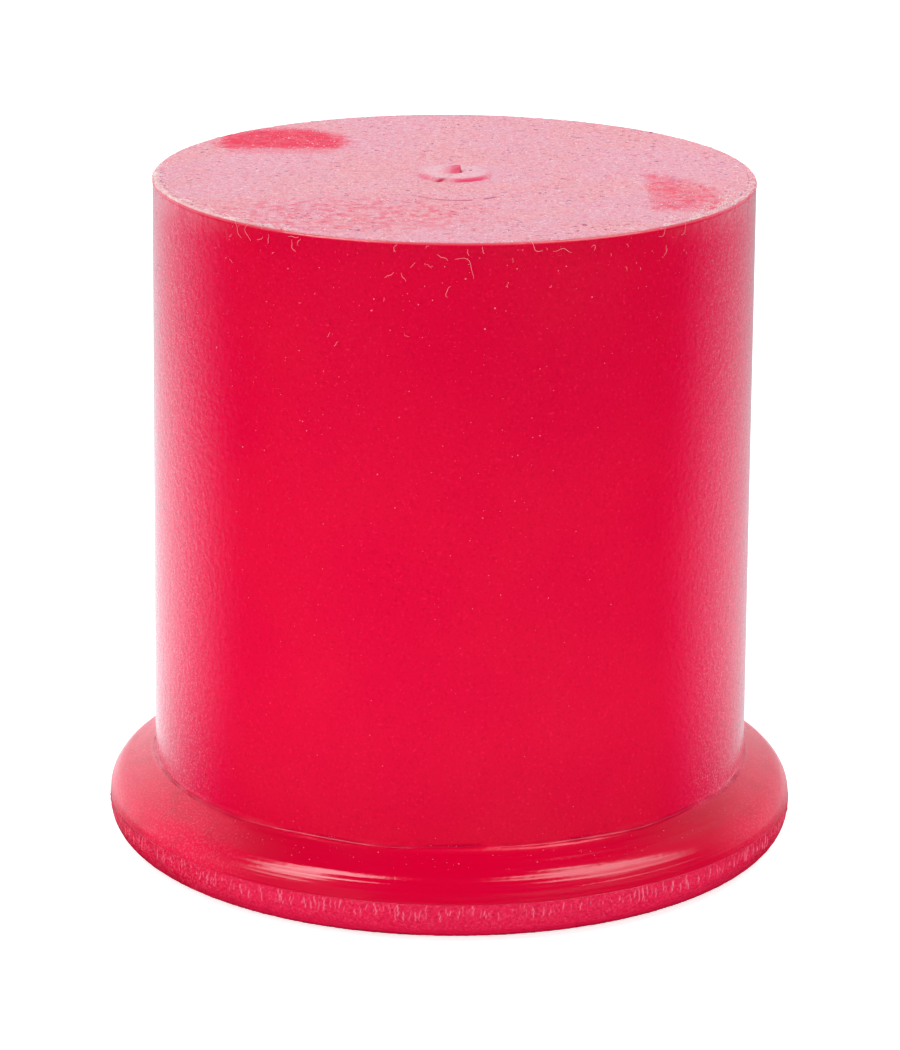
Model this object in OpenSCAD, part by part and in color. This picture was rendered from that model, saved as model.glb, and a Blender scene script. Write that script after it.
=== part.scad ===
// Rubber stopper, moulded in one piece: a slightly tapered plug that rises from a low round
// head. It stands on the head's flat face. Lengths are in millimetres and +Z is up. The origin
// is the centre of the flat face.

/* [Plug] */
// Length of the plug, from the top of the head to its small end
plug_length = 25; // [12:0.5:60]
// Diameter of the plug at its small end
plug_end_d = 25; // [12:0.1:60]
// How much wider the plug is at the head than at its small end
plug_taper = 0.3; // [0.1:0.1:4]
// Radius of the edge round the small end
end_edge_r = 0.2; // [0.05:0.05:1]

/* [Head] */
// Thickness of the head, where its slope meets the plug
head_t = 3.4; // [3.1:0.1:8]
// How far the head stands out past the plug, all round
head_overhang = 1.95; // [1.2:0.05:2.3]
// Slope of the head's upper side, in degrees below level
shoulder_slope = 26; // [10:1:32]
// Radius between the sloping upper side and the trimmed band
shoulder_r = 1.35; // [0.4:0.05:1.7]
// Radius of the lower edge, between the trimmed band and the flat face
foot_r = 1.2; // [0.3:0.05:1.5]
// Radius in the corner between the plug and the head
root_fillet_r = 0.4; // [0.1:0.05:1]

/* [Gate mark] */
// Diameter of the low boss that the moulding gate left on the small end
gate_d = 3.3; // [2:0.1:6]
// Height of the boss
gate_h = 0.13; // [0.05:0.01:0.5]
// Width of the boss's sloping edge
gate_flank = 0.3; // [0.05:0.05:0.6]
// Width of the torn nib on the boss
nib_d = 0.95; // [0.3:0.05:1.2]
// Height of the nib above the boss, at its tall side
nib_h = 0.25; // [0.1:0.05:0.6]
// How far the nib sits from the middle of the boss, away from its tall side
nib_offset = 0.2; // [0:0.05:0.4]

/* [Hidden] */
$fn = 180;
RUBBER_RED = [0.85, 0.03, 0.2];
HAIR = 0.0005;

plug_end_r = plug_end_d / 2;
plug_root_r = plug_end_r + plug_taper / 2;
head_r = plug_root_r + head_overhang;
end_z = head_t + plug_length;
plug_draft = atan(plug_taper / 2 / plug_length);
nib_slant = atan(nib_h / nib_d);

// Sharp corners of the section, as [distance from the axis, height]
root_corner = [plug_root_r, head_t];
end_corner = [plug_end_r, end_z];
band_corner = [head_r, head_t - head_overhang * tan(shoulder_slope)];
foot_corner = [head_r, 0];

// Unit vector at an angle in the section, counted from outward towards up
function toward(angle) = [cos(angle), sin(angle)];

// What lies between a corner and the arc that touches both of its sides. The sides leave the
// corner at the angles from_a and to_a: taken off, the web rounds the corner, and added, it
// fills the corner in. Its tip runs on past the corner, so that no edge lies along a side, and
// the arc crosses each side by a hair, so that no sliver is left where they touch.
module corner_web(corner, from_a, to_a, r) {
    half = (to_a - from_a) / 2;
    reach = r / tan(half);
    inward = toward(from_a + half);
    centre = corner + (r / sin(half) - HAIR) * inward;
    difference() {
        polygon([corner - r / 2 * inward, corner + reach * toward(from_a), centre,
                 corner + reach * toward(to_a)]);
        translate(centre) circle(r);
    }
}

// Half of the section through the axis, without its roundings
module sharp_section() {
    polygon([[0, 0], foot_corner, band_corner, root_corner, end_corner, [0, end_z]]);
}

module rounded_section() {
    difference() {
        sharp_section();
        corner_web(foot_corner, 90, 180, foot_r);
        corner_web(band_corner, 180 - shoulder_slope, 270, shoulder_r);
        corner_web(end_corner, 180, 270 + plug_draft, end_edge_r);
    }
    corner_web(root_corner, -shoulder_slope, 90 + plug_draft, root_fillet_r);
}

// Stub that the gate left when it was torn off, cut aslant from nothing to its full height
module torn_nib() {
    difference() {
        cylinder(h = gate_h + nib_h, d = nib_d);
        translate([nib_d / 2, 0, gate_h + nib_h]) rotate([0, -nib_slant, 0])
            translate([-2 * nib_d, -nib_d, 0]) cube(2 * nib_d);
    }
}

module gate_mark() {
    cylinder(h = gate_h, r1 = gate_d / 2, r2 = gate_d / 2 - gate_flank);
    translate([-nib_offset, 0, 0]) torn_nib();
}

module stopper() {
    color(RUBBER_RED) {
        rotate_extrude() rounded_section();
        translate([0, 0, end_z]) gate_mark();
    }
}

stopper();
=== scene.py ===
"""Dresses a red rubber stopper: its skin with the torn gate mark and the trimmed band, the bloom on
its small end, with a painted sheen in its colour, and the lint and dust that cling to it.

Lengths are in millimetres until a mesh or a lamp is made. A bearing is an angle round the Z axis,
0 at the front (-Y) and 90 degrees on the right (+X).
"""

import math

import bpy
import numpy as np
from mathutils import Matrix, Vector


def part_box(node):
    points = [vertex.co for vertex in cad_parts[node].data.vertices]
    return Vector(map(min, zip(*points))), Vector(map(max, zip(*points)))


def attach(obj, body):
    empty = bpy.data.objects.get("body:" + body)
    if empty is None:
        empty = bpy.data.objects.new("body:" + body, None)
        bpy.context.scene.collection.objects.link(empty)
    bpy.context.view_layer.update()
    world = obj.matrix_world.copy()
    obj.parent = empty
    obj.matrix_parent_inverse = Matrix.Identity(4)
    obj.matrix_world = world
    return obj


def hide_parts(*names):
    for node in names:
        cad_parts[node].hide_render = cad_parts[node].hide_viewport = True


MM = 0.001  # a millimetre in metres

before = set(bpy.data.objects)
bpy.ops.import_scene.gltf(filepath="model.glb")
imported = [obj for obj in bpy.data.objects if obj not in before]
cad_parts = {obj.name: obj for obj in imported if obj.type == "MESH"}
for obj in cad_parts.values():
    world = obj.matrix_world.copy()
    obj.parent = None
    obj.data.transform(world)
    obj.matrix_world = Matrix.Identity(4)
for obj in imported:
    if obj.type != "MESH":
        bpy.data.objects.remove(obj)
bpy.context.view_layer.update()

# Heights and radii of the stopper. The frame gives its reach, and the rest are its own sizes.
_, FAR_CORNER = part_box("stopper")
HEAD_R = FAR_CORNER.x / MM
NIB_H = 0.25
GATE_H = 0.13
END_Z = FAR_CORNER.z / MM - NIB_H - GATE_H
PLUG_LENGTH = 25.0
PLUG_TAPER = 0.3
HEAD_T = END_Z - PLUG_LENGTH
HEAD_OVERHANG = 1.95
ROOT_R = HEAD_R - HEAD_OVERHANG
END_R = ROOT_R - PLUG_TAPER / 2
SHOULDER_SLOPE = 26.0
PLUG_DRAFT = math.degrees(math.atan(PLUG_TAPER / 2 / PLUG_LENGTH))

# Radii of the rounded corners
FOOT_R = 1.2
SHOULDER_R = 1.35
ROOT_FILLET_R = 0.4
END_EDGE_R = 0.2

# Gate mark in the middle of the small end
GATE_R = 1.65
GATE_FLANK = 0.3
NIB_R = 0.475
NIB_X = -0.2
NOTCH = (-0.58, -1.36)  # x and y
FAR_PIT = (0.43, 0.3)
NEAR_PIT = (0.62, 0.18)
GATE_ZONE_R = 1.95  # where the finer mesh round it starts

# Band round the head where the flash was trimmed off, and its torn ridges
BAND_LOW = 0.95
BAND_HIGH = 1.7
FLASH_DEPTH = 0.007
RIDGE_H = 0.048
RIDGE_WIDTH = 0.028
RIDGE_PITCH = 0.18
RIDGE_CROWDING = 0.05  # how much closer they stand round one bearing
CROWD_BEARING = 52.0
CROWD_WIDTH = 22.0

# Thin lip round the small end, and the groove in the corner between the plug and the head
LIP = 0.05
GROOVE_DEPTH = 0.09

# Vertices round each part of the skin. Neighbours are equal or whole multiples of each other.
BASE_COLUMNS = 360
HEAD_COLUMNS = 720
BAND_COLUMNS = 3600
PLUG_COLUMNS = 360
GATE_COLUMNS = 180


def smoothstep(t):
    """0 below 0 and 1 above 1, with an even rise between them."""
    t = np.clip(t, 0.0, 1.0)
    return t * t * (3.0 - 2.0 * t)


def bell(offset, width):
    """1 at no offset, fading to 0 at both sides."""
    return np.exp(-((offset / width) ** 2))


def toward(degrees):
    """Unit vector at an angle in the section, counted from outward towards up."""
    angle = math.radians(degrees)
    return np.array([math.cos(angle), math.sin(angle)])


# ---- section

ROOT_CORNER = np.array([ROOT_R, HEAD_T])
END_CORNER = np.array([END_R, END_Z])
BAND_CORNER = np.array([HEAD_R, HEAD_T - HEAD_OVERHANG * math.tan(math.radians(SHOULDER_SLOPE))])
FOOT_CORNER = np.array([HEAD_R, 0.0])


def line(start, end, steps):
    """Points along a straight side, both ends included."""
    share = np.linspace(0.0, 1.0, steps + 1)[:, None]
    return start + share * (end - start)


def rounding(corner, from_degrees, to_degrees, radius, steps):
    """Points of the arc that touches both sides of a corner. The sides leave the corner at the two
    angles, and the arc runs from the first side to the second."""
    half = math.radians(to_degrees - from_degrees) / 2
    centre = corner + radius / math.sin(half) * toward(math.degrees(half) + from_degrees)
    turn = np.linspace(from_degrees - 90.0, to_degrees - 270.0, steps + 1)
    return np.array([centre + radius * toward(t) for t in turn])


def cut_at(points, height):
    """Splits a rising line of points at a height, which both parts then hold."""
    row = int(np.searchsorted(points[:, 1], height))
    low, high = points[row - 1], points[row]
    split = low + (high - low) * (height - low[1]) / (high[1] - low[1])
    return np.vstack([points[:row], split]), np.vstack([split, points[row:]])


def spread_rows(points, count):
    """Points evenly spaced along a line of points."""
    steps = np.hypot(*np.diff(points, axis=0).T)
    along = np.concatenate([[0.0], np.cumsum(steps)])
    wanted = np.linspace(0.0, along[-1], count + 1)
    return np.stack([np.interp(wanted, along, points[:, 0]), np.interp(wanted, along, points[:, 1])], 1)


def section():
    """The parts of the section, from the middle of the base to the edge of the gate's zone, as
    (columns, points, relief), where relief gives how far the skin stands out of the plain form."""
    foot = rounding(FOOT_CORNER, 90.0, 180.0, FOOT_R, 60)[::-1]
    shoulder = rounding(BAND_CORNER, 180.0 - SHOULDER_SLOPE, 270.0, SHOULDER_R, 90)[::-1]
    root = rounding(ROOT_CORNER, -SHOULDER_SLOPE, 90.0 + PLUG_DRAFT, ROOT_FILLET_R, 12)
    end_edge = rounding(END_CORNER, 180.0, 270.0 + PLUG_DRAFT, END_EDGE_R, 6)[::-1]
    foot, land_low = cut_at(foot, BAND_LOW)
    land_high, shoulder = cut_at(shoulder, BAND_HIGH)
    band = np.vstack([land_low, land_high])
    shoulder = np.vstack([shoulder, root[:1]])
    small_end = line(end_edge[-1], np.array([GATE_ZONE_R, END_Z]), 10)
    near_edge = end_edge[-1] - np.array([0.06, 0.0])
    return [
        (BASE_COLUMNS, line(np.array([3.0, 0.0]), foot[0], 4), flat),
        (HEAD_COLUMNS, spread_rows(foot, 9), foot_relief),
        (BAND_COLUMNS, spread_rows(band, 8), band_relief),
        (HEAD_COLUMNS, spread_rows(shoulder, 30), shoulder_relief),
        (HEAD_COLUMNS, root, root_relief),
        (PLUG_COLUMNS, line(root[-1], end_edge[0], 24), plug_relief),
        (HEAD_COLUMNS, end_edge, edge_relief),
        (PLUG_COLUMNS, np.vstack([end_edge[-1], near_edge, small_end[1:]]), flat),
    ]


# ---- relief


def row_share(points):
    """From 0 on the first row of points to 1 on the last."""
    return np.linspace(0.0, 1.0, len(points))[:, None]


def flat(angle, points):
    """No relief: the plain moulded form."""
    return np.zeros((len(points), len(angle)))


def waves(angle, orders, seed):
    """A smooth wander round the axis, about 1 at its largest, from whole numbers of waves a turn."""
    draws = np.random.default_rng(seed)
    phases = draws.uniform(0.0, 2.0 * math.pi, len(orders))
    total = sum(np.sin(order * angle + phase) for order, phase in zip(orders, phases))
    return total / math.sqrt(len(orders))


def fade_ends(points):
    """0 on the first and last row and 1 in the middle rows, so that a relief starts and ends level."""
    share = row_share(points)
    return smoothstep(share / 0.15) * smoothstep((1.0 - share) / 0.15)


def foot_relief(angle, points):
    """The foot is a little lumpy where the mould's lower edge was."""
    lumps = waves(angle, [41, 67, 93, 131, 173], 11) + waves(angle, [229, 283], 12)
    return 0.004 * fade_ends(points) * lumps


def shoulder_relief(angle, points):
    """Low flow lines that run round the shoulder and wander a little in height."""
    height = points[:, 1][:, None]
    wander = 0.05 * waves(angle, [3, 7, 13, 23], 21)
    broad = np.sin((height + wander) * 2.0 * math.pi / 0.62)
    fine = np.sin((height - 1.7 * wander) * 2.0 * math.pi / 0.23 + 1.0)
    weight = 0.6 + 0.4 * waves(angle, [5, 11, 17], 22)
    return fade_ends(points) * (0.008 * broad * weight + 0.0014 * fine)


def root_relief(angle, points):
    """A shallow groove that runs along the corner, deeper in some places than in others."""
    share = row_share(points)
    middle = 0.5 + 0.1 * waves(angle, [4, 9, 14], 25)
    depth = 0.7 + 0.3 * waves(angle, [7, 16, 31, 53], 26)
    return -GROOVE_DEPTH * depth * bell(share - middle, 0.14) * fade_ends(points)


def plug_relief(angle, points):
    """The plug's wall is true to about a hundredth of a millimetre."""
    share = row_share(points)
    lean = waves(angle, [2, 3, 5], 31)
    return 0.008 * np.sin(math.pi * share) ** 2 * lean


def edge_relief(angle, points):
    """A thin lip that stands out round the small end, with small nicks along it."""
    share = row_share(points)
    nicks = waves(angle, [61, 97, 149, 211], 41) * waves(angle, [17, 29, 37], 42)
    lip = 0.85 + 0.15 * waves(angle, [5, 19, 43, 83], 43)
    reach = LIP * lip * (1.0 - 0.6 * share)
    return fade_ends(points) * (reach - 0.015 * np.clip(nicks, 0.0, None))


def ridge_pitch(bearing):
    """Distance between the band's torn ridges, which crowd together at the right of the front."""
    return RIDGE_PITCH - RIDGE_CROWDING * bell(bearing - CROWD_BEARING, CROWD_WIDTH)


def band_relief(angle, points):
    """The trimmed band: cut back a little, with torn ridges that run up it and wander sideways."""
    draws = np.random.default_rng(51)
    share = row_share(points)
    arc = angle * HEAD_R
    turn = 2.0 * math.pi * HEAD_R
    top_edge = 0.94 + 0.06 * waves(angle, [23, 61, 97, 151, 211], 52)
    relief = -FLASH_DEPTH * smoothstep(share / 0.12) * smoothstep((top_edge - share) / 0.3)
    place = 0.0
    while place < turn:
        middle = place + draws.normal(0.0, 0.05)
        lean, bow, phase = draws.normal(0.0, 0.06), draws.uniform(0.01, 0.04), draws.uniform(0.0, 6.3)
        bottom, top = draws.uniform(0.0, 0.5), draws.uniform(0.55, 1.0)
        height = RIDGE_H * draws.uniform(0.25, 1.0)
        jag = 0.02 * np.sin(draws.uniform(16.0, 26.0) * share + 2.0 * phase)
        ridge_at = middle + lean * (share - 0.5) + bow * np.sin(7.0 * share + phase) + jag
        aside = (arc - ridge_at + turn / 2.0) % turn - turn / 2.0
        length = smoothstep((share - bottom) / 0.12) * smoothstep((top - share) / 0.12)
        relief = relief + height * length * bell(aside, RIDGE_WIDTH)
        bearing = (math.degrees(place / HEAD_R) + 180.0) % 360.0 - 180.0
        place += ridge_pitch(bearing) * draws.uniform(0.6, 1.4)
    return relief


def gate_height(x, y):
    """Height over the small end round the gate: the boss, the torn nib on it and the marks by it."""
    boss = GATE_H * smoothstep((GATE_R - np.hypot(x, y)) / GATE_FLANK)
    along = x - NIB_X
    inside = NIB_R - np.hypot(along, y)
    ramp = NIB_H * np.clip((along + NIB_R) / (2.0 * NIB_R), 0.0, 1.0)
    nib = ramp * smoothstep(inside / 0.03)
    return boss + nib - gate_marks(x, y)[0]


def gate_marks(x, y):
    """Depth of the marks cut into the boss, the painted shade inside them, and where the rubber is
    bare:
    a gap along the nib's tall side, a notch in the boss's near edge and two pits are darkened with
    painted shade, and the nib and the boss's near flank are bare."""
    along = x - NIB_X
    outside = np.hypot(along, y) - NIB_R
    gap = bell(outside - 0.045, 0.03) * smoothstep((along - 0.1) / 0.25)
    tall_side = bell(outside - 0.01, 0.03) * smoothstep((along - 0.36) / 0.1)
    inward = y - NOTCH[1]
    notch = bell(x - NOTCH[0] - 0.6 * inward, 0.2) * bell(inward, 0.13)
    far_pit = bell(x - FAR_PIT[0], 0.05) * bell(y - FAR_PIT[1], 0.12)
    near_pit = bell(x - NEAR_PIT[0], 0.06) * bell(y - NEAR_PIT[1], 0.1)
    pits = far_pit + near_pit
    depth = 0.04 * gap + 0.08 * notch + 0.03 * pits
    # painted shade in the marks: on the nib's tall side and in the gap, notch and pits
    dark = np.clip(0.8 * tall_side + 0.3 * gap + 1.2 * notch + 0.4 * pits, 0.0, 1.0)
    reach = np.hypot(x, y)
    past_top = smoothstep((reach - GATE_R + GATE_FLANK + 0.05) / 0.22)
    flank = past_top * smoothstep((GATE_R + 0.04 - reach) / 0.1)
    worn_right = np.exp(-(((x - 0.65) / 0.75) ** 4))
    worn_left = 0.5 * bell(x + 1.2, 0.45)
    near_side = smoothstep(-y / 0.5) * (worn_right + worn_left)
    nib = smoothstep((0.06 - outside) / 0.08) * (0.25 + 0.6 * smoothstep((along + 0.3) / 0.6))
    bare = np.maximum(flank * near_side, nib)
    return depth, dark, bare


# ---- skin


def stitch(lower, upper):
    """Faces between two rings of vertices, one of which may have a whole number of times as many."""
    if len(lower) == len(upper):
        pairs = zip(lower, np.roll(lower, -1), np.roll(upper, -1), upper)
        return [tuple(int(v) for v in quad) for quad in pairs]
    low_is_few = len(lower) < len(upper)
    few, many = (lower, upper) if low_is_few else (upper, lower)
    ratio = len(many) // len(few)
    faces = []
    for i in range(len(few)):
        after = (i + 1) % len(few)
        middle = many[(i * ratio + ratio // 2) % len(many)]
        faces.append((few[i], few[after], middle))
        for j in range(ratio):
            this, following = many[i * ratio + j], many[(i * ratio + j + 1) % len(many)]
            faces.append((few[i if j < ratio // 2 else after], following, this))
    return [tuple(int(v) for v in (face if low_is_few else face[::-1])) for face in faces]


class Skin:
    """A closed skin built up ring by ring, from the middle of the base to the middle of the end. Its
    marks say from 0 to 1 how torn the rubber is, how much painted shade it has and how bare it is at
    each vertex."""

    def __init__(self):
        self.points = []
        self.marks = {"torn": [], "dark": [], "bare": []}
        self.faces = []
        self.ring = None
        self.count = 0

    def add_ring(self, points, **marks):
        """Adds a ring and joins it to the one below. A mark that isn't given is 0."""
        ring = np.arange(self.count, self.count + len(points))
        self.points.append(points)
        for name, values in self.marks.items():
            values.append(marks.get(name, np.zeros(len(points))))
        if self.ring is not None:
            self.faces += stitch(self.ring, ring)
        self.ring = ring
        self.count += len(points)

    def add_pole(self, height, ring, facing_up):
        """Closes the skin with a fan of faces between a ring and a vertex on the axis."""
        pole = self.count
        self.points.append(np.array([[0.0, 0.0, height]]))
        for values in self.marks.values():
            values.append(values[-1][:1])
        self.count += 1
        for this, following in zip(ring, np.roll(ring, -1)):
            face = (int(this), int(following), pole)
            self.faces.append(face if facing_up else face[::-1])


def ring_angles(columns):
    return np.linspace(0.0, 2.0 * math.pi, columns, endpoint=False)


def ring_points(angle, radius, height):
    """Points at these angles from the front, at one or many radii and heights."""
    return np.stack([radius * np.sin(angle), -radius * np.cos(angle), height + 0.0 * angle], 1)


def outward(points):
    """Unit normals of a line of points in the section, on the side away from the rubber."""
    steps = np.gradient(points, axis=0)
    steps /= np.hypot(steps[:, 0], steps[:, 1])[:, None]
    return np.stack([steps[:, 1], -steps[:, 0]], 1)


def make_mesh(name, points, faces):
    mesh = bpy.data.meshes.new(name)
    mesh.from_pydata([tuple(p * MM) for p in points], [], faces)
    mesh.validate()
    mesh.shade_smooth()
    return mesh


def add_object(name, data):
    made = bpy.data.objects.new(name, data)
    bpy.context.scene.collection.objects.link(made)
    return made


def make_piece(name, mesh, material):
    piece = add_object(name, mesh)
    mesh.materials.append(material)
    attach(piece, "root")
    return piece


def add_section(skin):
    """The base, the head, the plug and the flat of the small end."""
    for columns, points, relief in section():
        angle = ring_angles(columns)
        offsets = relief(angle, points)
        normals = outward(points)
        first = 0 if skin.ring is None else 1
        for row in range(first, len(points)):
            radius = points[row, 0] + offsets[row] * normals[row, 0]
            height = points[row, 1] + offsets[row] * normals[row, 1]
            marks = {}
            if relief is band_relief:
                marks["torn"] = np.clip(1.5 * (offsets[row] - 0.003) / RIDGE_H, 0.0, 1.0)
            if relief is root_relief:
                # painted shade along the groove, as dark as the groove is deep
                marks["dark"] = -offsets[row] / GROOVE_DEPTH
            skin.add_ring(ring_points(angle, radius, height), **marks)


def add_gate(skin):
    """The small end's middle, fine enough for the boss and the nib."""
    angle = ring_angles(GATE_COLUMNS)
    coarse = np.linspace(GATE_ZONE_R, 0.75, 24, endpoint=False)
    fine = np.linspace(0.75, 0.0, 30, endpoint=False)
    for radius in np.concatenate([coarse, fine]):
        ring = ring_points(angle, radius, END_Z)
        x, y = ring[:, 0], ring[:, 1]
        ring[:, 2] += gate_height(x, y)
        _, dark, bare = gate_marks(x, y)
        skin.add_ring(ring, dark=dark, bare=bare)
    skin.add_pole(END_Z + float(gate_height(0.0, 0.0)), skin.ring, facing_up=True)


def stopper(material):
    """The rubber itself, in place of the frame's."""
    skin = Skin()
    add_section(skin)
    add_gate(skin)
    skin.add_pole(0.0, np.arange(BASE_COLUMNS), facing_up=False)
    mesh = make_mesh("stopper_skin", np.vstack(skin.points), skin.faces)
    for name, values in skin.marks.items():
        attribute = mesh.attributes.new(name, "FLOAT", "POINT")
        attribute.data.foreach_set("value", np.concatenate(values).astype(np.float32))
    piece = make_piece("stopper_skin", mesh, material)
    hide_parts("stopper")


# ---- lint and dust

# Fibres that cling below the edge of the small end: bearing, drop below the edge, lean from
# straight down, length and how far they curl, in degrees and millimetres.
FIBRES = [
    (-43.7, 0.0, 20, 0.75, 10),
    (-40.5, 0.0, -25, 0.80, 95),
    (-38.2, 0.55, 75, 0.35, 90),
    (-35.6, 0.28, 25, 0.40, -70),
    (-31.3, 0.22, 85, 0.55, 15),
    (-30.5, 0.34, -5, 0.52, 50),
    (-28.6, 0.26, -40, 0.30, 20),
    (-10.0, 0.12, -60, 0.40, 80),
    (-12.4, 1.48, 110, 0.45, 20),
    (-9.4, 1.25, 30, 0.40, 10),
    (-3.0, 0.48, 75, 0.50, -20),
    (0.2, 0.66, 95, 1.35, -120),
    (2.4, 0.26, 8, 0.30, 10),
    (5.2, 0.14, -30, 0.34, 90),
    (-0.5, 1.75, -70, 0.55, 120),
    (13.9, -0.02, 0, 0.75, 100),
    (18.0, 0.46, 110, 0.85, -60),
    (25.4, 0.42, 150, 0.40, -230),
    (41.7, 0.02, 5, 0.60, -110),
    (47.0, 0.0, 12, 0.62, -75),
    (42.1, 0.78, -12, 0.45, 0),
]

# Half moon on the small end where the bloom was wiped off, and where no fibres lie
MOON_CENTRE = (-7.4, 6.0)
MOON_RADII = (2.85, 3.1)

WALL_FIBRE_R = 0.0075
END_FIBRE_R = 0.013
FIBRE_SIDES = 5
FIBRE_STEPS = 12

# How many bits of fibre are scattered on the wall, on the small end and along its rim
WALL_BITS = 110
END_BITS = 420
RIM_BITS = 620


def at(bearing, radius, height):
    """A point at a bearing in radians, a distance from the axis and a height."""
    return np.array([radius * math.sin(bearing), -radius * math.cos(bearing), height])


def plug_radius(height):
    share = (END_Z - height) / PLUG_LENGTH
    return END_R + share * (ROOT_R - END_R)


def tube(path, radius):
    """Points and faces of a thin tube along a path, closed at both ends."""
    path = np.asarray(path)
    steps = np.gradient(path, axis=0)
    steps /= np.linalg.norm(steps, axis=1)[:, None]
    side = np.cross(steps, [0.21, 0.37, 0.9])
    side /= np.linalg.norm(side, axis=1)[:, None]
    other = np.cross(steps, side)
    rows = len(path)
    taper = 0.45 + 0.55 * np.sin(np.linspace(0.15, math.pi - 0.15, rows))
    points = []
    for k in range(FIBRE_SIDES):
        angle = 2.0 * math.pi * k / FIBRE_SIDES
        reach = side * math.cos(angle) + other * math.sin(angle)
        points.append(path + reach * (radius * taper)[:, None])
    points = np.stack(points, 1).reshape(-1, 3)
    faces = []
    for row in range(rows - 1):
        for k in range(FIBRE_SIDES):
            after = (k + 1) % FIBRE_SIDES
            below, above = row * FIBRE_SIDES, (row + 1) * FIBRE_SIDES
            faces.append((below + k, below + after, above + after, above + k))
    faces.append(tuple(range(FIBRE_SIDES))[::-1])
    faces.append(tuple((rows - 1) * FIBRE_SIDES + k for k in range(FIBRE_SIDES)))
    return points, faces


class Heap:
    """Many small closed shapes gathered into one mesh."""

    def __init__(self):
        self.points = []
        self.faces = []
        self.count = 0

    def add(self, points, faces):
        self.points.append(points)
        self.faces += [tuple(v + self.count for v in face) for face in faces]
        self.count += len(points)


def wall_fibre(bearing, drop, lean, length, curl, lift):
    """The path of a fibre on the plug's wall. It bends by curl, a little unevenly, and lifts off in
    the middle."""
    share = np.linspace(0.0, 1.0, FIBRE_STEPS)
    heading = np.radians(lean + curl * share + 22.0 * np.sin(9.0 * share + bearing))
    step = length / (FIBRE_STEPS - 1)
    across = np.concatenate([[0.0], np.cumsum(np.sin(heading[:-1]) * step)])
    down = np.concatenate([[0.0], np.cumsum(np.cos(heading[:-1]) * step)])
    height = np.minimum(END_Z - drop - down, END_Z - 0.02)
    radius = plug_radius(height) + WALL_FIBRE_R * 0.6 + lift * np.sin(math.pi * share)
    angle = math.radians(bearing) + across / radius
    return np.stack([radius * np.sin(angle), -radius * np.cos(angle), height], 1)


def end_fibre(radius, bearing, heading, length, curl):
    """The path of a fibre that lies on the small end."""
    share = np.linspace(0.0, 1.0, FIBRE_STEPS)
    turn = np.radians(heading + curl * share)
    step = length / (FIBRE_STEPS - 1)
    x = radius * math.sin(math.radians(bearing)) + np.cumsum(np.cos(turn) * step)
    y = -radius * math.cos(math.radians(bearing)) + np.cumsum(np.sin(turn) * step)
    reach = np.hypot(x, y)
    keep = np.minimum(1.0, (END_R + 0.03) / reach)
    height = END_Z + END_FIBRE_R * 0.4 + 0.04 * np.sin(math.pi * share)
    return np.stack([x * keep, y * keep, height], 1)


def hang_fibres(heap):
    """The fibres of the list above, which hang down the wall from the edge of the small end."""
    for bearing, drop, lean, length, curl in FIBRES:
        heap.add(*tube(wall_fibre(bearing, drop, lean, length, curl, 0.05), WALL_FIBRE_R))


def scatter_wall_bits(heap, draws):
    """Short bits of fibre on the wall, most of them near the small end."""
    for _ in range(WALL_BITS):
        bearing, drop = draws.uniform(-180.0, 180.0), draws.exponential(1.6) + 0.1
        lean, length = draws.uniform(-180.0, 180.0), draws.uniform(0.06, 0.3)
        path = wall_fibre(bearing, drop, lean, length, draws.uniform(-150.0, 150.0), 0.02)
        heap.add(*tube(path, WALL_FIBRE_R * draws.uniform(0.5, 0.9)))


def scatter_end_bits(heap, draws):
    """Thin bits of fibre all over the small end, apart from the gate and the wiped half moon."""
    for _ in range(END_BITS):
        radius, bearing = (END_R - 0.2) * math.sqrt(draws.random()), draws.uniform(-180.0, 180.0)
        heading, length = draws.uniform(0.0, 360.0), draws.uniform(0.08, 0.4)
        path = end_fibre(max(radius, 2.2), bearing, heading, length, draws.normal(0.0, 110.0))
        if math.hypot(path[0, 0] - MOON_CENTRE[0], path[0, 1] - MOON_CENTRE[1]) > MOON_RADII[0]:
            heap.add(*tube(path, END_FIBRE_R * draws.uniform(0.35, 0.75)))


def fray_rim(heap, draws):
    """Coarser bits of fibre that stand along the rim at the left and at the right."""
    for _ in range(RIM_BITS):
        at_left = draws.random() < 0.6
        bearing = draws.normal(-66.0, 18.0) if at_left else draws.normal(64.0, 16.0)
        radius = END_R + 0.03 - draws.exponential(0.16 if at_left else 0.35)
        heading, length = bearing + draws.normal(0.0, 40.0), draws.uniform(0.1, 0.45)
        path = end_fibre(radius, bearing, heading, length, draws.normal(0.0, 80.0))
        heap.add(*tube(path, END_FIBRE_R * draws.uniform(0.6, 1.3)))


def lint(material):
    """All the fibres, in one mesh."""
    draws = np.random.default_rng(61)
    heap = Heap()
    hang_fibres(heap)
    scatter_wall_bits(heap, draws)
    scatter_end_bits(heap, draws)
    fray_rim(heap, draws)
    mesh = make_mesh("lint", np.vstack(heap.points), heap.faces)
    make_piece("lint", mesh, material)


SPECK_SIDES = 6
WALL_GRAINS = 2800
HEAD_GRAINS = 500
END_CRUMBS = 5200


def speck(centre, normal, size, draws):
    """A low irregular grain that sits on the surface."""
    normal = np.asarray(normal)
    side = np.cross(normal, [0.3, 0.5, 0.81])
    side /= np.linalg.norm(side)
    other = np.cross(normal, side)
    points = [centre + normal * size * 0.5]
    for k in range(SPECK_SIDES):
        angle = 2.0 * math.pi * k / SPECK_SIDES
        reach = size * draws.uniform(0.55, 1.0)
        points.append(centre + reach * (side * math.cos(angle) + other * math.sin(angle)))
    points.append(centre - normal * size * 0.3)
    faces = []
    for k in range(SPECK_SIDES):
        this, after = 1 + k, 1 + (k + 1) % SPECK_SIDES
        faces.append((0, this, after))
        faces.append((SPECK_SIDES + 1, after, this))
    return np.array(points), faces


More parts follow.
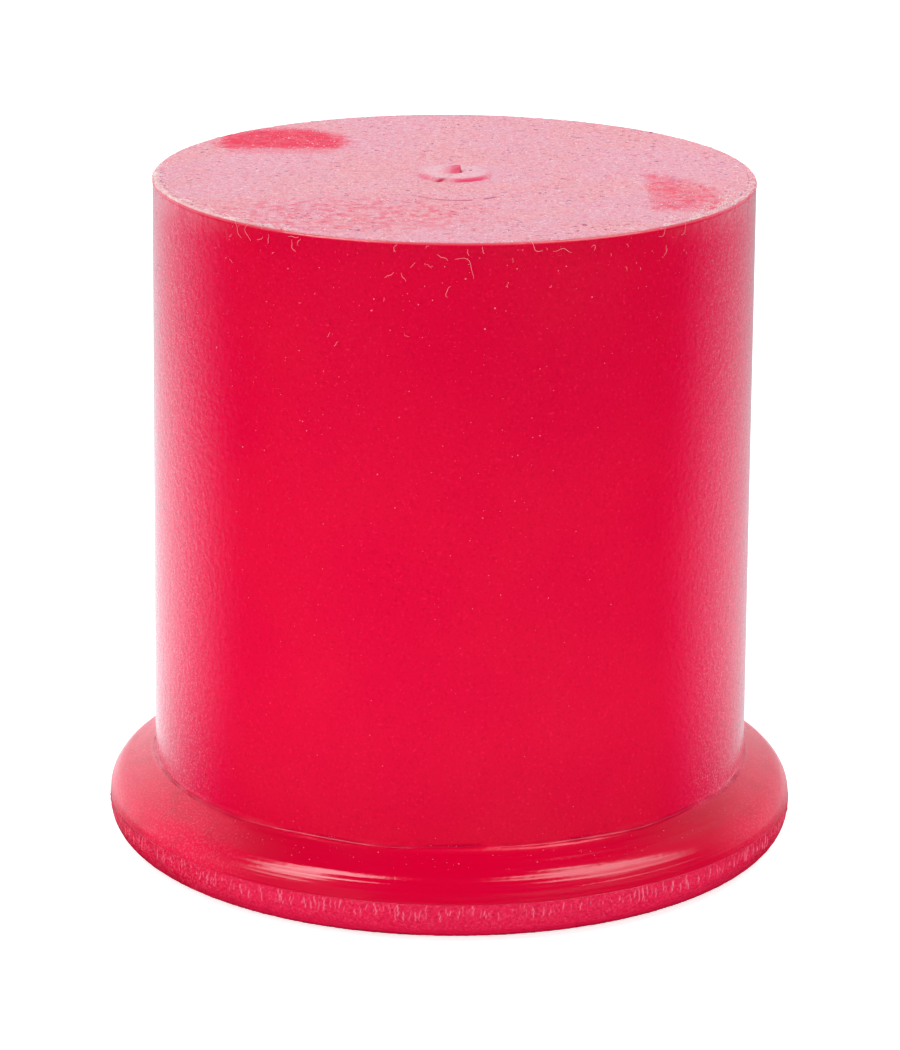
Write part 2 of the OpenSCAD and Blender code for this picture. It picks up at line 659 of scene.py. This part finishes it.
def scatter_wall_grains(heap, draws):
    """Fine grains on the plug's wall, most of them near the small end."""
    for _ in range(WALL_GRAINS):
        bearing = math.radians(draws.uniform(-180.0, 180.0))
        height = END_Z - min(draws.exponential(11.0) + 0.05, PLUG_LENGTH - 0.1)
        centre = at(bearing, plug_radius(height), height)
        size = 0.007 + draws.exponential(0.006)
        heap.add(*speck(centre, at(bearing, 1.0, 0.0), size, draws))


def scatter_head_grains(heap, draws):
    """Fine grains on the head's sloping upper side."""
    slope = math.radians(SHOULDER_SLOPE)
    for _ in range(HEAD_GRAINS):
        bearing = math.radians(draws.uniform(-180.0, 180.0))
        past_root = draws.uniform(0.25, 1.15)
        centre = at(bearing, ROOT_R + past_root, HEAD_T - past_root * math.tan(slope))
        normal = at(bearing, math.sin(slope), math.cos(slope))
        heap.add(*speck(centre, normal, 0.008 + draws.exponential(0.007), draws))


def scatter_end_crumbs(heap, draws):
    """Larger crumbs all over the small end, outside the gate's zone."""
    for _ in range(END_CRUMBS):
        bearing = math.radians(draws.uniform(-180.0, 180.0))
        radius = (END_R - 0.1) * math.sqrt(draws.random())
        if radius < GATE_ZONE_R:
            continue
        size = 0.012 + draws.exponential(0.010)
        heap.add(*speck(at(bearing, radius, END_Z), [0.0, 0.0, 1.0], size, draws))


def dust(material):
    """All the grains of dust, in one mesh."""
    draws = np.random.default_rng(71)
    heap = Heap()
    scatter_wall_grains(heap, draws)
    scatter_head_grains(heap, draws)
    scatter_end_crumbs(heap, draws)
    mesh = make_mesh("dust", np.vstack(heap.points), heap.faces)
    make_piece("dust", mesh, material)


# ---- materials

# Red rubber
RUBBER = (0.80, 0.0, 0.044, 1.0)
RUBBER_WARM = (0.815, 0.0, 0.041, 1.0)
RUBBER_SIDE_LIT = (0.88, 0.0, 0.085, 1.0)  # painted light: the plug's two sides made lighter and pinker, as light and sheen fall there
RUBBER_PALE = (1.0, 0.02, 0.12, 1.0)  # pale grains on the plug
RUBBER_DEEP = (0.30, 0.0, 0.006, 1.0)  # dark grains and smudges, darkening towards the small end, and painted shade towards the head
RUBBER_HEAD_SHADED = (0.64, 0.0, 0.032, 1.0)  # painted shade: the head in front, darker than the plug to offset the light on its upper slope
RUBBER_DUSTY = (0.82, 0.0, 0.056, 1.0)  # the head's two sides
RUBBER_BAND = (0.85, 0.008, 0.075, 1.0)
RUBBER_PIT_SHADE = (0.54, 0.0, 0.04, 1.0)  # painted shade in hollows: the corner's groove and the marks by the gate
BARE = (0.84, 0.05, 0.15, 1.0)  # the nib and the boss's worn side
TORN = (1.0, 0.20, 0.33, 1.0)  # the band's ridges
EDGE_HIGHLIGHT = (0.98, 0.22, 0.25, 1.0)  # painted highlight along the rounded edge of the small end

# Bloom on the small end, and what marks it. Its pinks are partly the real pale bloom and partly a
# painted sheen, on a matt surface
WIPED = (0.87, 0.004, 0.065, 1.0)
BLOOM_THIN = (0.88, 0.25, 0.31, 1.0)
PINK_BLOOM_AND_SHEEN = (0.88, 0.42, 0.48, 1.0)
MAUVE_BLOOM_AND_SHEEN = (0.86, 0.43, 0.54, 1.0)
BLOOM_SHADE = (0.62, 0.17, 0.27, 1.0)
BLOOM_EDGE = (1.0, 0.74, 0.72, 1.0)
DIRT = (0.46, 0.05, 0.16, 1.0)
SCRATCH = (0.60, 0.09, 0.19, 1.0)

# Lint and dust
LINT = (1.0, 0.84, 0.84, 1.0)
LINT_ON_WALL = (0.90, 0.38, 0.46, 1.0)
DUST = (1.0, 0.84, 0.85, 1.0)
DUST_ON_WALL = (0.88, 0.34, 0.42, 1.0)
SIDE_DUST = (0.97, 0.50, 0.61, 1.0)

RUBBER_IOR = 1.52
DUSTY_ROUGHNESS = 0.27  # kept under 0.274, from where on the denoiser counts a surface as matt
BLOOM_ROUGHNESS = 0.8

# Depth, in millimetres, of the relief that is only shaded
RIPPLE_DEPTH = 0.024
FLOW_LINE_DEPTH = 0.04
BAND_GRAIN_DEPTH = 0.07
CRUMB_DEPTH = 0.09


class Graph:
    """Short ways to add nodes to a material and to link them."""

    def __init__(self, tree):
        self.tree = tree
        self.tree.nodes.clear()

    def node(self, kind, inputs=None, **settings):
        made = self.tree.nodes.new("ShaderNode" + kind)
        for name, value in settings.items():
            setattr(made, name, value)
        for name, value in (inputs or {}).items():
            self.feed(made.inputs[name], value)
        return made

    def feed(self, socket, value):
        """Links a socket to another node's output, or sets the number or colour it holds."""
        if isinstance(value, bpy.types.NodeSocket):
            self.tree.links.new(value, socket)
        else:
            socket.default_value = value

    def math(self, operation, first, second=0.0):
        return self.node("Math", {0: first, 1: second}, operation=operation).outputs[0]

    def vector(self, operation, first, second=(0.0, 0.0, 0.0)):
        """A vector from one or two vectors, or a number for LENGTH and DISTANCE."""
        made = self.node("VectorMath", {0: first, 1: second}, operation=operation)
        return made.outputs["Value" if operation in ("LENGTH", "DISTANCE") else "Vector"]

    def parts(self, vector):
        """The x, y and z of a vector."""
        return self.node("SeparateXYZ", {0: vector}).outputs

    def turned(self, vector, angles):
        """A vector turned round the axes by three angles."""
        inputs = {"Vector": vector, "Rotation": angles}
        return self.node("VectorRotate", inputs, rotation_type="EULER_XYZ").outputs[0]

    def mark(self, name):
        """One of the skin's marks."""
        return self.node("Attribute", attribute_name=name).outputs["Fac"]

    def product(self, *values):
        total = values[0]
        for value in values[1:]:
            total = self.math("MULTIPLY", total, value)
        return total

    def rise(self, value, low, high, to_low=0.0, to_high=1.0):
        """An even rise of the result while the value goes from low to high."""
        inputs = {"Value": value, "From Min": low, "From Max": high}
        inputs.update({"To Min": to_low, "To Max": to_high})
        return self.node("MapRange", inputs, interpolation_type="SMOOTHSTEP").outputs[0]

    def noise(self, place, scale, detail=3.0, roughness=0.55):
        inputs = {"Vector": place, "Scale": scale, "Detail": detail, "Roughness": roughness}
        return self.node("TexNoise", inputs).outputs["Fac"]

    def blend(self, amount, first, second):
        """A colour between two colours."""
        inputs = {0: amount, 6: first, 7: second}
        return self.node("Mix", inputs, data_type="RGBA").outputs[2]

    def layered(self, colour, layers):
        """A colour with others laid over it one after the other, each with its amount."""
        for amount, layer in layers:
            colour = self.blend(amount, colour, layer)
        return colour

    def mix(self, amount, first, second):
        """A number between two numbers."""
        inputs = {0: amount, 2: first, 3: second}
        return self.node("Mix", inputs, data_type="FLOAT").outputs[0]

    def stretched(self, place, across, up):
        """The place scaled unevenly, so that a pattern runs round the axis."""
        return self.vector("MULTIPLY", place, (across, across, up))

    def bump(self, height, depth, normal=None):
        """Shades a height from 0 to 1 as if it were depth millimetres deep."""
        inputs = {"Height": height, "Distance": depth * MM, "Strength": 1.0}
        if normal is not None:
            inputs["Normal"] = normal
        return self.node("Bump", inputs).outputs[0]


def place_in_mm(graph):
    """Object coordinates in millimetres."""
    where = graph.node("TexCoord").outputs["Object"]
    return graph.node("VectorMath", {0: where, "Scale": 1.0 / MM}, operation="SCALE").outputs[0]


def oval(graph, place, centre, radii, softness):
    """1 inside an oval on the small end and 0 outside it."""
    offset = graph.vector("SUBTRACT", place, (*centre, 0.0))
    scaled = graph.vector("MULTIPLY", offset, (1.0 / radii[0], 1.0 / radii[1], 0.0))
    return graph.rise(graph.vector("LENGTH", scaled), 1.0 + softness, 1.0 - softness)


def wiped_patches(graph, place):
    """Where the small end's bloom was rubbed off, from 0 to 1: a half moon at the back left, a
    four-sided patch at the right and a faint cloud at the front left."""
    ragged = graph.node("TexNoise", {"Vector": place, "Scale": 2.2, "Detail": 4.0}).outputs["Color"]
    centred = graph.vector("SUBTRACT", ragged, (0.5, 0.5, 0.5))
    shift = graph.node("VectorMath", {0: centred, "Scale": 1.1}, operation="SCALE").outputs[0]
    shaken = graph.vector("ADD", place, shift)
    x, y, _ = graph.parts(shaken)
    flat_y = graph.parts(place)[1]
    moon = oval(graph, shaken, MOON_CENTRE, MOON_RADII, 0.22)
    ragged_cut = graph.rise(y, 4.4, 5.5, 0.0, 0.6)
    moon_cut = graph.math("ADD", ragged_cut, graph.rise(flat_y, 3.6, 3.9, 0.0, 0.4))
    rubbed = graph.rise(graph.noise(shaken, 2.6, 4.0, 0.7), 0.3, 0.65, 0.6, 1.0)
    left_patch = graph.product(moon, moon_cut, rubbed)
    slant = graph.math("ADD", x, y)
    sides = graph.product(graph.rise(x, 7.5, 8.3), graph.rise(x, 11.3, 10.3))
    ends = graph.product(graph.rise(slant, 9.6, 7.9), graph.rise(y, -7.6, -5.6))
    thin = graph.rise(graph.noise(shaken, 1.6, 4.0, 0.7), 0.3, 0.7, 0.25, 0.8)
    right_patch = graph.product(sides, ends, thin)
    cloud = oval(graph, shaken, (-4.2, -7.6), (6.2, 3.2), 0.45)
    broken = graph.product(cloud, graph.rise(ragged, 0.4, 0.6), 0.5)
    clean = graph.math("MAXIMUM", left_patch, right_patch)
    return graph.math("MAXIMUM", clean, broken)


def new_material(name):
    material = bpy.data.materials.new(name)
    material.use_nodes = True
    return material, Graph(material.node_tree)


def ring_line(graph, reach, radius, half_width):
    """1 along a thin circle round the axis and 0 off it."""
    off_line = graph.math("ABSOLUTE", graph.math("SUBTRACT", reach, radius))
    return graph.rise(off_line, half_width * 1.6, half_width * 0.4)


def scratch(graph, place):
    """A thin arc scratched in front of the gate, in two pieces."""
    x, y, _ = graph.parts(place)
    reach = graph.vector("DISTANCE", place, (0.1, -2.9, END_Z))
    arc = graph.product(ring_line(graph, reach, 2.1, 0.08), graph.rise(y, -4.1, -4.4))
    gap = graph.product(graph.rise(x, 0.75, 0.8), graph.rise(x, 1.2, 1.15))
    return graph.product(arc, graph.rise(gap, 1.0, 0.0), graph.rise(x, -1.8, 0.6, 0.5, 1.0))


def bloom(graph, place, reach, crumbs, grain):
    """The bloom's colour, with a painted sheen in it: pink to mauve, thin between its crumbs, grainy,
    and paler on the boss.
    """
    layers = [
        (graph.rise(graph.noise(place, 0.3), 0.38, 0.62), MAUVE_BLOOM_AND_SHEEN),
        (graph.rise(crumbs, 0.54, 0.40, 0.0, 0.7), BLOOM_THIN),
        (graph.rise(grain, 0.48, 0.30, 0.0, 0.5), BLOOM_SHADE),
        (graph.rise(grain, 0.56, 0.69, 0.0, 0.95), DUST),
        (graph.rise(reach, GATE_R - 0.05, GATE_R - 0.6, 0.0, 0.25), DUST),
    ]
    return graph.layered(PINK_BLOOM_AND_SHEEN, layers)


def rimmed_end(graph, place, reach, crumbs, grain, inner):
    """The small end's colour with a pale frayed rim at the left of the front, and a broken dark line
    inside the rim at both sides."""
    x, y, _ = graph.parts(place)
    near_side = graph.rise(y, 2.0, -1.0)
    leftward = graph.product(graph.rise(x, -7.5, -10.5), near_side)
    rightward = graph.product(graph.rise(x, 7.0, 10.0), near_side)
    sideways = graph.math("MAXIMUM", leftward, rightward)
    ragged_reach = graph.math("ADD", reach, graph.rise(crumbs, 0.3, 0.7, -0.12, 0.12))
    frayed = graph.product(graph.rise(ragged_reach, END_R - 0.22, END_R - 0.12), leftward)
    rimmed = graph.blend(graph.product(frayed, graph.rise(grain, 0.3, 0.45)), inner, BLOOM_EDGE)
    inner_line = graph.product(ring_line(graph, reach, END_R - 0.32, 0.035), sideways)
    broken = graph.product(inner_line, graph.rise(crumbs, 0.42, 0.58, 0.0, 0.8))
    return graph.blend(broken, rimmed, DIRT)


def bloomed_end(graph, place):
    """The small end: a pink bloom, partly painted sheen, that is wiped off in places, with specks of
    dirt, a scratch in front of the gate and a frayed rim. Gives its colour and its crumbs."""
    x, y, _ = graph.parts(place)
    reach = graph.vector("LENGTH", graph.node("CombineXYZ", {0: x, 1: y}).outputs[0])
    crumbs = graph.noise(place, 3.2, 6.0, 0.8)
    grain = graph.noise(place, 8.0, 3.0, 0.75)
    powder = bloom(graph, place, reach, crumbs, grain)
    clean = wiped_patches(graph, place)
    covered = graph.blend(graph.rise(clean, 1.0, 0.0, 0.08, 1.0), WIPED, powder)
    specks = graph.rise(graph.noise(place, 3.6, 3.0, 0.7), 0.60, 0.66)
    gathered = graph.rise(graph.noise(place, 0.35, 1.0), 0.35, 0.65, 0.35, 0.95)
    dirty = graph.blend(graph.product(specks, gathered), covered, DIRT)
    scratched = graph.blend(scratch(graph, place), dirty, SCRATCH)
    return rimmed_end(graph, place, reach, crumbs, grain, scratched), crumbs


class Zones:
    """Where the rubber's kinds of surface lie, as masks from 0 to 1, and the noises that vary them."""

    def __init__(self, graph, place):
        x, y, z = graph.parts(place)
        self.height = z
        self.sideways = graph.math("ABSOLUTE", x)
        self.end = graph.rise(z, END_Z - 0.06, END_Z - 0.005)
        self.end_edge = graph.rise(z, END_Z - 0.13, END_Z - 0.06)
        above_corner = graph.rise(z, HEAD_T + 0.12, HEAD_T + 0.02)
        self.corner = graph.product(graph.rise(z, HEAD_T - 0.22, HEAD_T - 0.08), above_corner)
        self.head = graph.rise(z, HEAD_T + 0.1, HEAD_T - 0.2)
        self.below_shoulder = graph.rise(z, BAND_HIGH + 0.02, BAND_HIGH - 0.01)
        self.band = graph.product(self.below_shoulder, graph.rise(z, 0.1, 0.9))
        left, right = graph.rise(x, -7.4, -11.0), graph.rise(x, 10.5, 13.2, 0.0, 0.8)
        self.dusty_head = graph.product(self.head, graph.math("MAXIMUM", left, right))
        behind = graph.rise(y, -5.0, 2.0, 0.0, 0.3)
        self.dusty_wall = graph.math("MAXIMUM", graph.rise(self.sideways, 9.0, 12.2), behind)
        self.cloud = graph.noise(place, 0.22, 3.0)
        self.grain = graph.noise(place, 8.0, 3.0, 0.7)
        self.fine_grain = graph.noise(place, 11.0, 2.0, 0.6)
        self.smudges = graph.noise(place, 0.9, 4.0, 0.65)
        self.ripple = graph.noise(place, 4.0, 2.0, 0.5)
        self.streaks = graph.noise(graph.stretched(place, 0.07, 6.0), 1.0, 1.5, 0.5)


def plug_colour(graph, zones):
    """Two reds in clouds, paler and pinker at both sides, where light and sheen are painted, darker
    towards the small end and, as painted shade, towards the head, with pale and dark grains, and with
    dust at the sides and a little behind."""
    pale_dust = graph.rise(zones.fine_grain, 0.50, 0.66)
    dark_dust = graph.rise(zones.fine_grain, 0.46, 0.34)
    layers = [
        (graph.rise(zones.cloud, 0.35, 0.65), RUBBER_WARM),
        # painted light: the plug's two sides lighter and pinker
        (graph.rise(zones.sideways, 8.0, 11.5), RUBBER_SIDE_LIT),
        (graph.rise(zones.height, END_Z - 14.0, END_Z, 0.0, 0.14), RUBBER_DEEP),
        # painted shade: the plug darker over its last 6 mm above the head, where the corner is shaded
        (graph.rise(zones.height, HEAD_T + 6.0, HEAD_T + 0.3, 0.0, 0.16), RUBBER_DEEP),
        (graph.rise(zones.grain, 0.58, 0.72, 0.0, 0.5), RUBBER_PALE),
        (graph.rise(zones.grain, 0.48, 0.32, 0.0, 0.2), RUBBER_DEEP),
        (graph.product(zones.dusty_wall, pale_dust, 0.28), SIDE_DUST),
        (graph.product(zones.dusty_wall, dark_dust, 0.6), DIRT),
    ]
    return graph.layered(RUBBER, layers)


def head_colour(graph, zones, plug):
    """Under the plug's colour, the head's: deep red in front, which is painted shade, dusty with
    smudges at both sides, and paler from the trimmed band down. The band is mottled and its torn ridges
    are pale."""
    powder = graph.rise(zones.fine_grain, 0.48, 0.66)
    smudges = graph.rise(zones.smudges, 0.52, 0.36)
    layers = [
        # painted shade: the head darker in front
        (zones.head, RUBBER_HEAD_SHADED),
        (zones.below_shoulder, RUBBER_BAND),
        (zones.dusty_head, RUBBER_DUSTY),
        (graph.product(zones.dusty_head, powder, 0.11), SIDE_DUST),
        (graph.product(zones.dusty_head, smudges, 0.18), RUBBER_DEEP),
        (graph.product(zones.band, graph.rise(zones.grain, 0.54, 0.66), 0.2), TORN),
        (graph.product(zones.band, graph.rise(zones.grain, 0.48, 0.36), 0.28), RUBBER_DEEP),
        (graph.mark("torn"), TORN),
    ]
    return graph.layered(plug, layers)


def rubber_colour(graph, zones, end):
    """The colours of plug, head and small end, with a painted highlight along its edge, the bare rubber
    and painted shade in the hollows.
    """
    layers = [
        # painted highlight along the small end's rounded edge
        (graph.product(zones.end_edge, 0.4), EDGE_HIGHLIGHT),
        (zones.end, end),
        (graph.mark("bare"), BARE),
        # painted shade in the hollows
        (graph.product(graph.mark("dark"), 0.95), RUBBER_PIT_SHADE),
    ]
    return graph.layered(head_colour(graph, zones, plug_colour(graph, zones)), layers)


def rubber_roughness(graph, zones):
    """Satin on the plug, glossy on the head in front, duller at its sides, and matt on the bloom."""
    satin = graph.rise(zones.cloud, 0.3, 0.7, 0.14, 0.18)
    glossy = graph.rise(zones.streaks, 0.3, 0.7, 0.12, 0.18)
    rough = graph.mix(zones.head, satin, glossy)
    rough = graph.mix(zones.dusty_head, rough, DUSTY_ROUGHNESS)
    rough = graph.mix(zones.corner, rough, DUSTY_ROUGHNESS)
    rough = graph.mix(zones.band, rough, graph.rise(zones.grain, 0.3, 0.7, 0.20, DUSTY_ROUGHNESS))
    return graph.mix(zones.end, rough, BLOOM_ROUGHNESS)


def rubber_relief(graph, zones, crumbs):
    """Relief that is only shaded: ripples, weaker on the head, flow lines on the head in front, the
    band's grain and the crumbs of the bloom."""
    ripple = graph.product(zones.ripple, graph.rise(zones.head, 0.0, 1.0, 1.0, 0.3))
    rippled = graph.bump(ripple, RIPPLE_DEPTH)
    flow = graph.product(zones.streaks, zones.head, graph.rise(zones.dusty_head, 1.0, 0.0))
    lined = graph.bump(flow, FLOW_LINE_DEPTH, rippled)
    grained = graph.bump(graph.product(zones.grain, zones.band), BAND_GRAIN_DEPTH, lined)
    return graph.bump(graph.product(crumbs, zones.end), CRUMB_DEPTH, grained)


def rubber_material():
    """Red rubber: satin on the plug, glossy on the head in front and dusty at its sides, with a pale
    bloom on the small end, whose colour holds a painted sheen too."""
    material, graph = new_material("red_rubber")
    place = place_in_mm(graph)
    zones = Zones(graph, place)
    end, crumbs = bloomed_end(graph, place)
    looks = {
        "IOR": RUBBER_IOR,
        "Base Color": rubber_colour(graph, zones, end),
        "Roughness": rubber_roughness(graph, zones),
        "Normal": rubber_relief(graph, zones, crumbs),
    }
    shader = graph.node("BsdfPrincipled", looks)
    graph.node("OutputMaterial", {"Surface": shader.outputs[0]})
    return material


def fluff_material(name, colour, on_wall):
    """Lint or dust: matt, pale on the small end and redder on the walls, where it is thin."""
    material, graph = new_material(name)
    place = place_in_mm(graph)
    z = graph.parts(place)[2]
    uneven = graph.rise(graph.noise(place, 2.3, 2.0), 0.35, 0.65, 0.0, 0.5)
    amount = graph.math("MAXIMUM", graph.rise(z, END_Z, END_Z - 0.1), uneven)
    looks = {"Base Color": graph.blend(amount, colour, on_wall)}
    looks.update({"Roughness": 0.9, "Specular IOR Level": 0.2})
    shader = graph.node("BsdfPrincipled", looks)
    graph.node("OutputMaterial", {"Surface": shader.outputs[0]})
    return material


# ---- studio

WHITE = (1.0, 1.0, 1.0, 1.0)
FLOOR_R = 1500.0
FILL_LIGHT = 0.1  # even light from all round
STUDIO_WHITE = 1.25  # what glossy surfaces see behind the object
LEFT_WHITE = 1.28  # the share of it at the far left
RIGHT_WHITE = 0.82  # the share at the right
HIGH_WHITE = 0.78  # the share above the floor
FLOOR_WHITE = 0.97  # the share on the floor close to the object
FLOOR_FAR_WHITE = 0.60  # the share on the floor past 125 mm from it
STUDIO_TINT = (0.80, 0.96, 1.0, 1.0)  # a cool white
FLOOR_PAINT = 0.92  # near the object
FLOOR_FAR_PAINT = 0.45  # past 80 mm from it, so that little light bounces on the rubber
FLOOR_GLOW = 0.7  # the floor's own white near the object, where shadows still show


def window(graph, direction, azimuth, elevation, width, height, brightness):
    """A softbox as glossy surfaces see it, dimmer towards its lower edge. Azimuth 0 is behind the
    object and 90 on the right. Angles are in degrees."""
    turned = graph.turned(direction, (0.0, 0.0, math.radians(azimuth)))
    x, y, z = graph.parts(graph.turned(turned, (-math.radians(elevation), 0.0, 0.0)))
    aside = graph.math("ABSOLUTE", graph.math("DIVIDE", x, y))
    level = graph.math("DIVIDE", z, y)
    above = graph.math("ABSOLUTE", level)
    half_width = math.tan(math.radians(width / 2.0))
    half_height = math.tan(math.radians(height / 2.0))
    across = graph.rise(aside, half_width * 1.03, half_width * 0.97)
    along = graph.rise(above, half_height * 1.03, half_height * 0.97)
    fade = graph.rise(level, -half_height, half_height * 0.2, 0.3, 1.0)
    return graph.product(across, along, fade, graph.math("GREATER_THAN", y, 0.0), brightness)


def studio_glow(graph, direction, spread=0.0):
    """White seen in reflections: full behind the object, and falling to dark on the camera's side
    and overhead. Spread brings it round farther."""
    across, behind, _ = graph.parts(direction)
    flat_way = graph.node("CombineXYZ", {0: across, 1: behind}).outputs[0]
    across, behind, _ = graph.parts(graph.vector("NORMALIZE", flat_way))
    around = graph.rise(graph.math("ADD", behind, spread), -0.12, 0.78)
    side = graph.rise(across, 0.3, -0.5, RIGHT_WHITE, LEFT_WHITE)
    above = graph.rise(graph.parts(graph.vector("NORMALIZE", direction))[2], 0.92, 0.3)
    return graph.product(around, side, above, STUDIO_WHITE)


def seen_in_gloss(graph):
    """1 for rays that left a glossy or clear surface."""
    path = graph.node("LightPath").outputs
    return graph.math("MAXIMUM", path["Is Glossy Ray"], path["Is Transmission Ray"])


def make_world():
    """White to the camera, a weak fill to matt surfaces, and the studio's glow with its two softboxes
    to glossy ones. Only a first reflection sees the softboxes: a second one, off the plug, would put
    a false streak on the head."""
    world = bpy.data.worlds.new("studio")
    bpy.context.scene.world = world
    world.use_nodes = True
    graph = Graph(world.node_tree)
    direction = graph.node("TexCoord").outputs["Generated"]
    fill = graph.node("Background", {"Color": WHITE, "Strength": FILL_LIGHT}).outputs[0]
    white = graph.node("Background", {"Color": WHITE, "Strength": 1.0}).outputs[0]
    # Azimuth, elevation, width, height and brightness of the two softboxes
    left = window(graph, direction, -117.0, 47.0, 20.0, 50.0, 7.5)
    right = window(graph, direction, 103.0, 52.0, 34.0, 46.0, 4.6)
    first_gloss = graph.math("LESS_THAN", graph.node("LightPath").outputs["Glossy Depth"], 1.5)
    softboxes = graph.product(graph.math("ADD", left, right), first_gloss)
    strength = graph.math("ADD", graph.product(studio_glow(graph, direction), HIGH_WHITE), softboxes)
    glow = graph.node("Background", {"Color": STUDIO_TINT, "Strength": strength}).outputs[0]
    gloss = graph.node("MixShader", {0: seen_in_gloss(graph), 1: fill, 2: glow}).outputs[0]
    camera_ray = graph.node("LightPath").outputs["Is Camera Ray"]
    seen = graph.node("MixShader", {0: camera_ray, 1: gloss, 2: white}).outputs[0]
    graph.node("OutputWorld", {"Surface": seen})


def floor_material():
    """A pale floor: white to the camera apart from the shadow, and the studio's glow in gloss."""
    material, graph = new_material("floor")
    camera_ray = graph.node("LightPath").outputs["Is Camera Ray"]
    place = graph.node("TexCoord").outputs["Object"]
    reach = graph.vector("LENGTH", place)
    own_white = graph.rise(reach, 0.03, 0.08, FLOOR_GLOW, 1.0)
    shade = graph.rise(reach, 0.03, 0.08, FLOOR_PAINT, FLOOR_FAR_PAINT)
    paint = graph.node("BsdfDiffuse", {"Color": shade}).outputs[0]
    white = graph.node("Emission", {"Strength": graph.product(camera_ray, own_white)}).outputs[0]
    lit = graph.node("AddShader", {0: paint, 1: white}).outputs[0]
    spread = graph.rise(reach, 0.03, 0.12, 0.18, -0.06)
    share = graph.rise(reach, 0.015, 0.125, FLOOR_WHITE, FLOOR_FAR_WHITE)
    strength = graph.product(studio_glow(graph, place, spread), share)
    glow = graph.node("Emission", {"Color": STUDIO_TINT, "Strength": strength}).outputs[0]
    seen = graph.node("MixShader", {0: seen_in_gloss(graph), 1: lit, 2: glow}).outputs[0]
    graph.node("OutputMaterial", {"Surface": seen})
    return material


def make_floor():
    rim = ring_points(ring_angles(96), FLOOR_R, 0.0)
    mesh = make_mesh("floor", rim, [tuple(range(len(rim)))])
    mesh.materials.append(floor_material())
    add_object("floor", mesh)


def make_lamp(name, azimuth, elevation, width, height, brightness):
    """A softbox that faces the middle of the object. Azimuth 0 is behind it and 90 on the right, and
    a brightness of 1 is white. Glossy surfaces see the studio's glow and windows instead."""
    distance = 400.0
    turn, lift = math.radians(azimuth), math.radians(elevation)
    way = Vector((math.sin(turn) * math.cos(lift), math.cos(turn) * math.cos(lift), math.sin(lift)))
    light = bpy.data.lights.new(name, "AREA")
    light.shape = "RECTANGLE"
    light.size = 2.0 * distance * math.tan(math.radians(width / 2.0)) * MM
    light.size_y = 2.0 * distance * math.tan(math.radians(height / 2.0)) * MM
    light.energy = brightness * math.pi * light.size * light.size_y
    lamp = add_object(name, light)
    lamp.location = way * distance * MM + Vector((0.0, 0.0, END_Z / 2.0 * MM))
    lamp.rotation_euler = (-way).to_track_quat("-Z", "Y").to_euler()
    lamp.visible_glossy = False
    lamp.visible_camera = False


def make_lamps():
    """Two softboxes and four fills: azimuth, elevation, width, height and brightness."""
    make_lamp("left_softbox", -117.0, 52.0, 20.0, 34.0, 4.9)
    make_lamp("right_softbox", 103.0, 56.0, 36.0, 30.0, 2.9)
    make_lamp("left_fill", -122.0, 10.0, 60.0, 40.0, 2.8)
    make_lamp("right_fill", 128.0, 10.0, 60.0, 40.0, 2.45)
    make_lamp("back_fill", 0.0, 8.0, 60.0, 40.0, 2.0)
    make_lamp("back_light", 0.0, 50.0, 60.0, 40.0, 1.5)


# Camera: its distance in front of the axis, height over the base, turn in degrees, and lens
CAMERA_BACK = 176.02
CAMERA_HEIGHT = 66.455
CAMERA_PITCH = 16.833
CAMERA_YAW = -0.022
CAMERA_ROLL = 0.4756
CAMERA_LENS = 148.42


def make_camera():
    view = bpy.data.cameras.new("camera")
    view.lens = CAMERA_LENS
    view.sensor_width = 36.0
    place = Matrix.Translation(Vector((0.0, -CAMERA_BACK, CAMERA_HEIGHT)) * MM)
    yaw = Matrix.Rotation(math.radians(-CAMERA_YAW), 4, "Z")
    pitch = Matrix.Rotation(math.radians(90.0 - CAMERA_PITCH), 4, "X")
    roll = Matrix.Rotation(math.radians(CAMERA_ROLL), 4, "Z")
    camera = add_object("camera", view)
    camera.matrix_world = place @ yaw @ pitch @ roll
    bpy.context.scene.camera = camera


make_camera()
make_world()
make_lamps()
make_floor()
stopper(rubber_material())
lint(fluff_material("lint", LINT, LINT_ON_WALL))
dust(fluff_material("dust", DUST, DUST_ON_WALL))
bpy.context.scene.view_settings.view_transform = "Standard"
